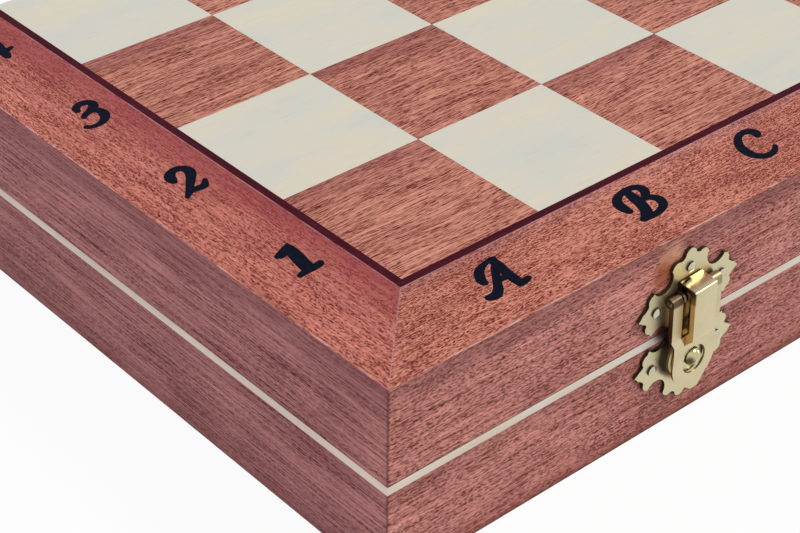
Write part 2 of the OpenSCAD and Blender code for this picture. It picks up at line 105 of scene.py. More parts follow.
class Shader:
    """A material whose nodes are added by short calls; a socket given as a value is linked.

    In what follows s is a Shader, c the colour so far, v a place on the part and p its x, y and z.
    """
    MIX_FACTOR, MIX_A, MIX_B, MIX_RESULT = 0, 6, 7, 2       # the mix node's sockets when it mixes colours

    def __init__(self, name):
        self.mat = bpy.data.materials.new(name)
        self.mat.use_nodes = True
        self.tree = self.mat.node_tree
        self.bsdf = next(n for n in self.tree.nodes if n.type == "BSDF_PRINCIPLED")
        coordinates = self.node("ShaderNodeTexCoord").outputs
        self.place = coordinates["Object"]
        self.facing = coordinates["Normal"]

    def put(self, socket, value):
        if isinstance(value, bpy.types.NodeSocket):
            self.tree.links.new(value, socket)
        else:
            socket.default_value = value

    def node(self, kind, inputs=None, **props):
        n = self.tree.nodes.new(kind)
        for key, value in props.items():
            setattr(n, key, value)
        for key, value in (inputs or {}).items():
            self.put(n.inputs[key], value)
        return n

    def surface(self, **values):
        for key, value in values.items():
            self.put(self.bsdf.inputs[key.replace("_", " ")], value)

    def math(self, operation, a, b=0.0, c=0.0, clamp=False):
        inputs = {0: a, 1: b, 2: c}
        return self.node("ShaderNodeMath", inputs, operation=operation, use_clamp=clamp).outputs[0]

    def plus(self, a, b):
        return self.math("ADD", a, b)

    def minus(self, a, b):
        return self.math("SUBTRACT", a, b)

    def times(self, a, b, clamp=False):
        return self.math("MULTIPLY", a, b, clamp=clamp)

    def times_plus(self, a, factor, addend):
        return self.math("MULTIPLY_ADD", a, factor, addend)

    def magnitude(self, a):
        return self.math("ABSOLUTE", a)

    def vec(self, operation, a, b=(0, 0, 0), output="Vector"):
        return self.node("ShaderNodeVectorMath", {0: a, 1: b}, operation=operation).outputs[output]

    def split(self, v):
        return self.node("ShaderNodeSeparateXYZ", {0: v}).outputs

    def join(self, x, y, z):
        return self.node("ShaderNodeCombineXYZ", {0: x, 1: y, 2: z}).outputs[0]

    def noise(self, v, detail=2.0, rough=0.5, scale=1.0):
        inputs = {"Vector": v, "Scale": scale, "Detail": detail, "Roughness": rough}
        return self.node("ShaderNodeTexNoise", inputs).outputs["Fac"]

    def cells(self, v, randomness=1.0):
        """Distance to the nearest of a lattice of points, which randomness scatters."""
        inputs = {"Vector": v, "Scale": 1.0, "Randomness": randomness}
        return self.node("ShaderNodeTexVoronoi", inputs, feature="F1").outputs["Distance"]

    def band(self, v, low, high, out_low=0.0, out_high=1.0, smooth=True):
        """out_low up to low, out_high from high, and a ramp between them; high may be the smaller one."""
        inputs = {0: v, 1: low, 2: high, 3: out_low, 4: out_high}
        ramp = "SMOOTHSTEP" if smooth else "LINEAR"
        return self.node("ShaderNodeMapRange", inputs, interpolation_type=ramp).outputs[0]

    def mix(self, factor, a, b):
        inputs = {self.MIX_FACTOR: factor, self.MIX_A: a, self.MIX_B: b}
        return self.node("ShaderNodeMix", inputs, data_type="RGBA").outputs[self.MIX_RESULT]

    def bump(self, height, depth, strength):
        n = self.node("ShaderNodeBump", {"Height": height, "Distance": depth, "Strength": strength})
        self.put(self.bsdf.inputs["Normal"], n.outputs[0])

    def openness(self, reach, samples):
        """1 in the open, less in corners; reach in mm."""
        inputs = {"Distance": reach * MM}
        return self.node("ShaderNodeAmbientOcclusion", inputs, samples=samples).outputs["AO"]

    def grain(self, v, axis, along, across):
        """Coordinates stretched along the grain; sizes in mm."""
        scale = [1 / (across * MM)] * 3
        scale["XYZ".index(axis)] = 1 / (along * MM)
        return self.vec("MULTIPLY", v, tuple(scale))

    def wavy(self, v, axis, period, amount):
        """Moves a place by a slow noise, so that the grain wanders; sizes in mm."""
        inputs = {"Vector": self.grain(v, axis, period, period * 0.5), "Scale": 1.0, "Detail": 1.0}
        wander = self.node("ShaderNodeTexNoise", inputs).outputs["Color"]
        shift = self.vec("MULTIPLY", self.vec("SUBTRACT", wander, (0.5, 0.5, 0.5)), (amount * MM,) * 3)
        return self.vec("ADD", v, shift)


# Marks on the wood, and painted shade, shadow and glare on it
# painted shade in the corners round what is fixed on the wood
CORNER_SHADE = colour(66, 30, 26)
# painted shadow of the hasps on the wood
HASP_SHADOW = colour(52, 26, 22)
GLUE = colour(176, 146, 152)
# pale worn edge, partly a painted highlight
WORN_EDGE_HIGHLIGHT = colour(240, 204, 188)
CREASE = colour(74, 34, 32)
NEAR_INLAY = colour(160, 120, 128)
INNER_RED = colour(142, 58, 64)
TOP_TINT, FOOT_TINT = colour(106, 60, 64), colour(128, 54, 44)
SIDE_TOP_TINT, SIDE_FOOT_TINT = colour(130, 76, 82), colour(128, 66, 76)


def from_clasp(s, p):
    """Place along the front, from the middle of the nearer clasp."""
    return s.times_plus(s.math("SIGN", p[0]), -CLASP_X, p[0])


def grime(s, c, reach, amount):
    """Painted shade in the corners round what is fixed on the wood."""
    return s.mix(s.band(s.openness(reach, 6), 0.88, 0.4, 0.0, amount), c, CORNER_SHADE)


def behind_hasp(s, c):
    """Painted shadow of each hasp on the wood and the lipping, behind its left edge."""
    p = s.split(s.place)
    x = s.times_plus(from_clasp(s, p), 0.75, 4.2 * MM)
    off_middle = s.join(x, 0.0, s.minus(p[2], CLASP_Z + 0.6 * MM))
    near = s.band(s.vec("LENGTH", off_middle, output="Value"), 3.6 * MM, 1.6 * MM, 0.0, 0.9)
    at_front = s.band(p[1], FRONT + 1.4 * MM, FRONT + 0.3 * MM)
    return s.mix(s.times(near, at_front), c, HASP_SHADOW)


def inside_edge(s):
    """Distance in from the case's left, right or front edge, and how far a place is off the mitre."""
    p = s.split(s.place)
    x = s.minus(CASE_L / 2, s.magnitude(p[0]))
    y = s.minus(p[1], FRONT)
    return s.math("MINIMUM", x, y), s.magnitude(s.minus(x, y))


def border_marks(s, axis, c, highlight_amount):
    """Glue line beside the inlay, mitre line and a pale worn edge, partly a painted highlight."""
    inside, off_mitre = inside_edge(s)
    broken = s.band(s.noise(s.grain(s.place, axis, 7, 2), detail=3.0), 0.38, 0.56)
    glue = s.times(s.band(inside, BORDER - 0.4 * MM, BORDER - 0.1 * MM), broken)
    uneven = s.band(s.noise(s.place, scale=240, detail=2.0), 0.3, 0.55, 0.35, 0.9)
    mitre = s.times(s.band(off_mitre, 0.3 * MM, 0.06 * MM), uneven)
    rubbed = s.band(s.noise(s.grain(s.place, axis, 5, 1), detail=3.0), 0.42, 0.66)
    worn_highlight = s.times(s.band(inside, 0.8 * MM, 0.2 * MM), rubbed)
    c = s.mix(s.times(glue, 0.55), c, GLUE)
    c = s.mix(s.times(mitre, 0.5), c, GLUE)
    return s.mix(s.times(worn_highlight, highlight_amount), c, WORN_EDGE_HIGHLIGHT)


def front_border_zones(s, v, c):
    """Greyer towards the inlay."""
    near_inlay = s.band(inside_edge(s)[0], BORDER - 5 * MM, BORDER, 0.0, 0.2)
    return border_marks(s, "X", s.mix(near_inlay, c, NEAR_INLAY), 0.5)


def side_border_zones(s, v, c):
    """Redder and smoother towards the inlay."""
    inside, _ = inside_edge(s)
    inside = s.times_plus(s.noise(s.grain(v, "Y", 30, 6), detail=2.0), 5 * MM, inside)
    middle = s.band(inside, 7 * MM, 12 * MM, 0.0, 0.16)
    inner = s.band(inside, 14 * MM, 24 * MM, 0.0, 0.66)
    return border_marks(s, "Y", s.mix(inner, s.mix(middle, c, INNER_RED), INNER_RED), 0.3)


def rail_zones(s, v, c, axis, top_tint, foot_tint):
    """Darker along the top, the foot and the lipping, with a crease at the mitred end."""
    p = s.split(s.place)
    z = s.times_plus(s.noise(s.grain(v, axis, 24, 4), detail=2.0), 5 * MM, p[2])
    top = s.band(z, 43.5 * MM, 49 * MM)
    foot = s.band(z, 9 * MM, 2 * MM)
    lipping = s.band(s.magnitude(s.minus(z, LIPPING_Z)), 3.2 * MM, 1.4 * MM)
    c = s.mix(s.times(top, 0.42), c, top_tint)
    c = s.mix(s.times(foot, 0.35), c, foot_tint)
    c = s.mix(s.times(lipping, 0.2), c, top_tint)
    from_end = s.minus(CASE_L / 2, s.magnitude(p[0])) if axis == "X" else s.minus(p[1], FRONT)
    return s.mix(s.times(s.band(from_end, 0.6 * MM, 0.15 * MM), 0.6), c, CREASE)


def stain(s, c):
    """A pale and an orange spot beside the left clasp, spread along the fibres: painted glare from the
    brass.
    """
    fibres = s.noise(s.grain(s.place, "X", 5, 0.5), detail=3.0, rough=0.7)
    spread = s.times(fibres, 9 * MM)
    pale_glare = colour(212, 158, 124)
    orange_glare = s.mix(s.band(fibres, 0.42, 0.58), colour(162, 74, 20), colour(84, 18, 4))
    # x, z and radius of full strength in mm, amount and colour of each spot
    for x, z, full, amount, tone in ((-98.6, 43.9, 3, 0.85, pale_glare), (-100.3, 40.8, 2.9, 1.0, orange_glare)):
        away = s.vec("DISTANCE", s.place, (x * MM, FRONT, z * MM), output="Value")
        spot = s.band(s.plus(away, spread), 9.5 * MM, (full + 3) * MM, 0.0, amount)
        c = s.mix(s.times(spot, s.band(fibres, 0.32, 0.58, 1.0, 0.6)), c, tone)
    return c


# front rail: its own marks, then painted glare, the hasps' painted shadow and painted corner shade
def front_rail_zones(s, v, c):
    c = rail_zones(s, v, c, "X", TOP_TINT, FOOT_TINT)
    return grime(s, behind_hasp(s, stain(s, c)), 3.2, 0.8)


def side_rail_zones(s, v, c):
    return rail_zones(s, v, c, "Y", SIDE_TOP_TINT, SIDE_FOOT_TINT)


# Woods
ROW_SHIFT = 6 * MM            # how far rows of pores are moved against each other
PORE_DEPTH = 2.2              # how deep a pore runs into the wood, in pore widths
SQUARE_EDGE = colour(136, 74, 80)


def own_square(s):
    """Place from the clasps to the hinges, counted in squares, and a random colour of each square."""
    p = s.split(s.place)
    across = s.times_plus(p[1], 1 / SQUARE, -FIELD_Y / SQUARE)
    along = s.times_plus(p[0], 1 / SQUARE, -FIELD_X / SQUARE)
    face = s.math("SIGN", s.minus(p[2], CASE_H / 2))
    square = s.join(s.math("FLOOR", along), s.math("FLOOR", across), face)
    return across, s.node("ShaderNodeTexWhiteNoise", {"Vector": square}).outputs["Color"]


def mahogany(name, axis, light, dark, pore, pores, row, streaks, beaded, bend, ragged=0.65, clouds=0.1,
             deep="Z", seed=0.0, zones=None):
    """Lacquered mahogany: short dark pores in rows along the grain on a ground with streaks and clouds.

    pore and row are (length, width) in mm. pores, streaks and clouds say how dark each of them is. beaded
    ties the pores to the rows, ragged scatters them, bend is how far the grain wanders in mm, and deep is
    the axis into the wood. Without zones, each square is a piece of its own.
    """
    s = Shader(name)
    v = s.vec("ADD", s.place, (seed, seed * 0.7, seed * 1.3))
    if zones is None:
        across, pick = own_square(s)
        v = s.vec("ADD", v, s.vec("MULTIPLY", pick, (3.0, 3.0, 3.0)))
    bent = s.wavy(s.wavy(v, axis, 30, bend), axis, 7, 0.16)
    shift = s.times(s.noise(s.grain(bent, axis, 60, 0.4)), ROW_SHIFT)
    shift = s.vec("MULTIPLY", s.join(shift, shift, shift), tuple(float(a == axis) for a in "XYZ"))
    sizes = [pore[1] * MM] * 3
    sizes["XYZ".index(axis)] = pore[0] * MM
    sizes["XYZ".index(deep)] = PORE_DEPTH * pore[1] * MM
    place = s.vec("MULTIPLY", s.vec("ADD", bent, shift), tuple(1 / size for size in sizes))
    pits = s.band(s.cells(place, ragged), 0.44 + 0.2 * ragged, 0.22 + 0.14 * ragged)
    rows = s.band(s.noise(s.grain(bent, axis, *row), detail=1.5), 0.40, 0.58)
    broad = s.band(s.noise(s.grain(bent, axis, 22, 1.1), detail=3.0, rough=0.6), 0.38, 0.64)
    cloud = s.band(s.noise(s.grain(v, axis, 20, 7), detail=4.0), 0.36, 0.66)
    shade = s.times(s.times(pits, s.times_plus(rows, beaded, 1 - beaded)), pores)
    shade = s.times_plus(rows, streaks, shade)
    shade = s.times_plus(broad, streaks * 0.5, shade)
    shade = s.times_plus(cloud, clouds, shade)
    if zones is None:
        shade = s.plus(shade, s.band(s.split(pick)[1], 0.0, 1.0, -0.05, 0.05))
        place_in_square = s.math("FRACT", across)
        uneven = s.times_plus(s.noise(s.grain(v, axis, 30, 6), detail=2.0), 0.3, place_in_square)
        far_edge = s.band(uneven, 0.86, 1.2)
        shade = s.times_plus(far_edge, 0.12, shade)
    c = s.mix(s.times(shade, 1.0, clamp=True), light, dark)
    c = s.mix(s.times(far_edge, 0.4), c, SQUARE_EDGE) if zones is None else zones(s, v, c)
    s.surface(Base_Color=c, Roughness=s.band(shade, 0, 1, 0.46, 0.6, False), Specular_IOR_Level=0.07)
    s.bump(s.minus(1.0, shade), 0.03 * MM, 0.25)
    return s.mat


def maple(name, axis, base, warm, cool, seed=0.0, shaded_by_clasp=False):
    """Pale lacquered maple with a faint figure, and where asked painted corner shade and the hasps' painted
    shadow.
    """
    s = Shader(name)
    v = s.vec("ADD", s.place, (seed, -seed, seed))
    bent = s.wavy(v, axis, 30, 3.0)
    c = s.mix(s.band(s.noise(s.grain(bent, axis, 55, 9), detail=3.0), 0.3, 0.72), base, warm)
    c = s.mix(s.band(s.noise(s.grain(v, axis, 24, 15), detail=2.0), 0.42, 0.75, 0.0, 0.8), c, cool)
    fibre = s.noise(s.grain(bent, axis, 9, 0.35), detail=3.0, rough=0.6)
    c = s.mix(s.band(fibre, 0.52, 0.78, 0.0, 0.28), c, colour(182, 172, 152))
    # painted shade in the corners and the hasps' painted shadow
    if shaded_by_clasp:
        c = behind_hasp(s, grime(s, c, 4.5, 0.85))
    s.surface(Base_Color=c, Roughness=s.band(fibre, 0.3, 0.8, 0.42, 0.55, False), Specular_IOR_Level=0.12)
    s.bump(fibre, 0.02 * MM, 0.4)
    return s.mat


def dyed(name, axis):
    """Dark dyed veneer of the inlay lines, with pale flecks."""
    s = Shader(name)
    tone = s.band(s.noise(s.grain(s.place, axis, 12, 0.6), detail=4.0), 0.3, 0.75)
    flecks = s.band(s.cells(s.grain(s.place, axis, 2.2, 0.5)), 0.16, 0.05, 0.0, 0.35)
    c = s.mix(flecks, s.mix(tone, colour(60, 13, 26), colour(76, 22, 34)), colour(150, 110, 115))
    s.surface(Base_Color=c, Roughness=0.5, Specular_IOR_Level=0.02)
    s.bump(s.noise(s.grain(s.place, axis, 4, 0.3), detail=3.0), 0.02 * MM, 0.5)
    return s.mat


def plywood(name):
    s = Shader(name)
    layers = s.band(s.math("FRACT", s.times(s.split(s.place)[2], 1 / (1.3 * MM))), 0.45, 0.55)
    c = s.mix(layers, colour(214, 184, 142), colour(176, 140, 100))
    streaks = s.band(s.noise(s.grain(s.place, "X", 20, 0.8), detail=4.0), 0.4, 0.7, 0.0, 0.5)
    c = s.mix(streaks, c, colour(150, 112, 76))
    s.surface(Base_Color=c, Roughness=0.7, Specular_IOR_Level=0.25)
    s.bump(s.noise(s.grain(s.place, "X", 5, 0.3), detail=3.0), 0.04 * MM, 0.6)
    return s.mat


# Metal, felt and paint
# painted golden reflection, and dark painted shade for cut edges and recesses
GOLDEN_REFLECTION, DARK_SHADE = colour(200, 160, 106), colour(50, 28, 22)
# painted dark reflection on one side of a stud's dome, and the way that side faces
DOME_DARK_REFLECTION, DARK_REFLECTION_SIDE = colour(70, 58, 34), (-0.75, -0.62, -0.18)      # dark side of a stud's dome


def hasp_wear(s, c, facing):
    """Painted shade and dark reflections on the hasp: brown knuckles, cheek and sides near the wood,
    and a khaki wall in the stud's hole. Also gives where the hasp is matte.
    """
    p = s.split(s.place)
    x = from_clasp(s, p)
    at_pin = s.band(p[2], PIN_Z - 1.4 * MM, PIN_Z - 0.6 * MM)
    left_knuckle = s.times(s.band(x, -3.4 * MM, -4.0 * MM), at_pin)
    right_knuckle = s.times(s.band(x, 3.9 * MM, 4.5 * MM), at_pin)
    cheek = s.times(s.band(facing[0], -0.5, -0.85), s.band(x, -5.6 * MM, -6.4 * MM))
    sideways = s.band(s.magnitude(facing[0]), 0.5, 0.85)
    behind = s.times(sideways, s.band(p[1], FRONT - 2.7 * MM, FRONT - 2.2 * MM))
    from_stud = s.vec("LENGTH", s.join(x, 0.0, s.minus(p[2], STUD_Z)), output="Value")
    wall = s.times(s.band(from_stud, 4.7 * MM, 4.3 * MM), s.band(s.magnitude(facing[1]), 0.7, 0.4))
    # painted shade and dark reflections, zone by zone: strength and tone
    for zone, amount, tone in (
            (left_knuckle, 0.9, (72, 52, 42)), (right_knuckle, 0.7, (124, 108, 80)),
            (cheek, 0.9, (74, 46, 34)), (behind, 0.85, (66, 42, 32)), (wall, 0.9, (132, 116, 74))):
        c = s.mix(s.times(zone, amount), c, colour(*tone))
    arms = s.times(s.band(s.magnitude(x), 3.6 * MM, 4.2 * MM), s.band(p[2], CLASP_Z - 1.0 * MM, CLASP_Z))
    return c, arms


def metal(name, base, tarnish, rough, amount=0.25, edges=0.0, side_reflection=0.0, recess_shade=0.0, reach=3.0, low=0.0,
          hasp_shade=False, shade_stop=0.0, rim_reflection_strength=0.5):
    """Polished metal with soft tarnish, and painted light: painted shade on its cut edges and in its
    recesses, painted golden reflections on its sides and round its recesses, and a painted dark reflection
    on a dome.

    amount, edges, side_reflection, recess_shade and low say how strong the tarnish, the painted edge shade,
    the painted golden side reflection, the painted recess shade and a dome's painted dark reflection are. A
    recess looks for neighbours as far as reach in mm and has a painted golden reflection round it of the
    strength rim_reflection_strength. Where shade_stop is set, both fade out at that distance in mm from the
    wood.
    """
    s = Shader(name)
    blotch = s.band(s.noise(s.place, scale=220, detail=4.0), 0.4, 0.75)
    scratch = s.noise(s.vec("MULTIPLY", s.place, (4200, 4200, 500)), detail=3.0)
    facing = s.split(s.facing)
    c = s.mix(s.times(blotch, amount), base, tarnish)
    dull = s.times(blotch, 0.4)
    # painted golden reflection on the sides
    if side_reflection:
        c = s.mix(s.band(s.magnitude(facing[0]), 0.45, 0.85, 0.0, side_reflection), c, GOLDEN_REFLECTION)
    rim_reflection = recess_shade * rim_reflection_strength
    # painted shade on the cut edges
    if edges:
        edge_shade_mask = s.band(s.magnitude(facing[1]), 0.75, 0.35, 0.0, edges)
        rim_reflection = s.band(edge_shade_mask, edges, 0.0, 0.0, rim_reflection)
        c = s.mix(edge_shade_mask, c, DARK_SHADE)
        dull = s.plus(dull, edge_shade_mask)
    # painted dark reflection on one side of a dome
    if low:
        toward = s.vec("DOT_PRODUCT", s.facing, DARK_REFLECTION_SIDE, output="Value")
        c = s.mix(s.band(toward, 0.7, 0.97, 0.0, low), c, DOME_DARK_REFLECTION)
    # painted shade in recesses with a painted golden reflection round them, faded out near the wood where
    # asked
    if recess_shade:
        openness = s.openness(reach, 8)
        deep = s.band(openness, 0.62, 0.25, 0.0, recess_shade)
        if shade_stop:
            near_wood = s.band(s.split(s.place)[1], FRONT - shade_stop * MM, FRONT - (shade_stop - 0.2) * MM)
            rim_reflection = s.times(near_wood, rim_reflection)
            deep = s.times(near_wood, deep)
        rim = s.times(s.band(openness, 0.85, 0.5), rim_reflection)
        c = s.mix(deep, s.mix(rim, c, GOLDEN_REFLECTION), DARK_SHADE)
        dull = s.plus(dull, deep)
    # the hasp's painted shade and painted dark reflections
    if hasp_shade:
        c, matte = hasp_wear(s, c, facing)
        dull = s.plus(dull, s.times(matte, 1.1))
    roughness = s.band(s.times_plus(scratch, 0.6, dull), 0.2, 1.4, rough, rough + 0.3, False)
    s.surface(Base_Color=c, Metallic=1.0, Roughness=roughness)
    s.bump(s.noise(s.place, scale=300, detail=1.0), 0.02 * MM, 0.2)
    return s.mat


def felt(name):
    s = Shader(name)
    fuzz = s.vec("MULTIPLY", s.wavy(s.place, "X", 2, 1.4), (2600, 2600, 2600))
    fuzz = s.noise(fuzz, detail=4.0, rough=0.7)
    patch = s.noise(s.place, scale=40, detail=3.0)
    c = s.mix(s.band(fuzz, 0.3, 0.75), colour(14, 66, 44), colour(40, 110, 76))
    c = s.mix(s.band(patch, 0.4, 0.8, 0.0, 0.35), c, colour(58, 128, 92))
    s.surface(Base_Color=c, Roughness=0.95, Specular_IOR_Level=0.1, Sheen_Weight=0.6, Sheen_Roughness=0.4)
    s.bump(fuzz, 0.15 * MM, 0.8)
    return s.mat


def ink(name):
    s = Shader(name)
    faded = s.band(s.noise(s.place, scale=900, detail=3.0), 0.4, 0.7)
    c = s.mix(faded, colour(5, 8, 22), colour(10, 16, 38))
    s.surface(Base_Color=c, Roughness=0.6, Specular_IOR_Level=0.03)
    s.bump(s.noise(s.place, scale=1500, detail=2.0), 0.02 * MM, 0.4)
    return s.mat


# The part's materials; x and y are the way the grain runs
border_x = mahogany(
    "border_x", "X", colour(226, 149, 128), colour(100, 8, 2), pore=(0.8, 0.4), pores=0.95,
    row=(8, 0.24), streaks=0.26, beaded=0.25, bend=0.9, zones=front_border_zones)
border_y = mahogany(
    "border_y", "Y", colour(222, 140, 123), colour(94, 6, 4), pore=(0.82, 0.4), pores=1.0,
    row=(12, 0.24), streaks=0.3, beaded=0.3, bend=0.9, seed=3.1, zones=side_border_zones)
squares_dark = mahogany(
    "squares_dark", "X", colour(224, 153, 132), colour(90, 6, 2), pore=(1.6, 0.25), pores=0.56,
    row=(18, 0.23), streaks=0.38, beaded=0.6, bend=3.2, ragged=0.9, seed=1.7)
rail_x = mahogany(
    "rail_x", "X", colour(223, 153, 141), colour(78, 2, 1), pore=(0.9, 0.41), pores=0.82,
    row=(20, 0.24), streaks=0.28, beaded=0.35, bend=0.4, clouds=0.16, deep="Y", seed=5.3,
    zones=front_rail_zones)
rail_y = mahogany(
    "rail_y", "Y", colour(204, 138, 136), colour(82, 14, 22), pore=(1.3, 0.38), pores=0.48,
    row=(26, 0.22), streaks=0.31, beaded=0.6, bend=0.4, clouds=0.14, deep="X", seed=7.9,
    zones=side_rail_zones)
squares_light = maple(
    "squares_light", "X", colour(208, 205, 194), colour(216, 207, 187), colour(204, 203, 195))
# the lipping takes painted shade and the hasps' painted shadow near the clasps
strip_x = maple(
    "strip_light", "X", colour(220, 212, 200), colour(210, 192, 174), colour(218, 214, 206),
    seed=2.0, shaded_by_clasp=True)
strip_y = maple(
    "strip_light_y", "Y", colour(238, 220, 206), colour(218, 190, 168), colour(230, 216, 204), seed=2.5)
inlay_x = dyed("inlay_x", "X")
inlay_y = dyed("inlay_y", "Y")
ply = plywood("plywood")

PLATE = colour(208, 197, 160), colour(204, 202, 158)        # clean and tarnished
BRASS = colour(206, 193, 156), colour(196, 176, 130)
# the metals below carry painted shade and painted reflections as their arguments set
plate = metal("plate", *PLATE, 0.36, amount=0.8, edges=0.92, recess_shade=0.7, reach=1.2)
boss_plate = metal(
    "boss_plate", *PLATE, 0.26, amount=0.8, edges=0.92, recess_shade=0.6, reach=2.4, shade_stop=2.2, rim_reflection_strength=1.5)
brass = metal("brass", *BRASS, 0.1, amount=0.3, side_reflection=0.8, recess_shade=1.0, reach=5.0)
hasp_brass = metal("hasp_brass", *BRASS, 0.1, amount=0.3, side_reflection=0.8, recess_shade=1.0, reach=5.0, hasp_shade=True)
dome_brass = metal(
    "dome_brass", colour(202, 194, 148), colour(164, 148, 98), 0.06, amount=0.5, recess_shade=0.6, reach=1.2,
    low=0.95)
steel = metal("steel", colour(150, 138, 120), colour(96, 82, 66), 0.14, recess_shade=0.8)
nail = metal("nail", colour(202, 195, 172), colour(186, 174, 150), 0.2, amount=0.5, edges=0.95)
green_felt = felt("green_felt")
navy = ink("navy_ink")


def material_for(node):
    runs_along_x = node.endswith(("front", "back"))
    if "rail" in node:
        return rail_x if runs_along_x else rail_y
    if "light_squares" in node:
        return squares_light
    if "dark_squares" in node:
        return squares_dark
    if "inlay" in node:
        return inlay_x if runs_along_x else inlay_y
    if "border" in node:
        return border_x if runs_along_x else border_y
    if node.startswith("strip"):
        return strip_x if runs_along_x else strip_y
    if "panel" in node:
        return ply
    if "lining" in node:
        return green_felt
    if node.startswith(("hinge_pin", "hasp_pin")):
        return steel
    if "nails" in node:
        return nail
    if node in ("hasp_left", "hasp_right"):
        return hasp_brass
    if node.startswith("clasp_plate"):
        return boss_plate if "lower" in node else plate
    return brass


for name, obj in frame["nodes"].items():
    meshes = [obj] if obj.type == "MESH" else [c for c in obj.children_recursive if c.type == "MESH"]
    for mesh in meshes:
        for slot in mesh.material_slots:
            slot.material = material_for(name)


def new_mesh(name, verts, faces, materials, face_materials=None):
    """A closed body in the scene, its faces turned outwards."""
    mesh = bpy.data.meshes.new(name)
    mesh.from_pydata([tuple(v) for v in verts], [], [tuple(f) for f in faces])
    for m in materials:
        mesh.materials.append(m)
    if face_materials is not None:
        mesh.polygons.foreach_set("material_index", face_materials)
    mesh.validate()
    mesh.update()
    obj = bpy.data.objects.new(name, mesh)
    bpy.context.scene.collection.objects.link(obj)
    bm = bmesh.new()
    bm.from_mesh(mesh)
    bmesh.ops.recalc_face_normals(bm, faces=bm.faces)
    bm.to_mesh(mesh)
    bm.free()
    return obj


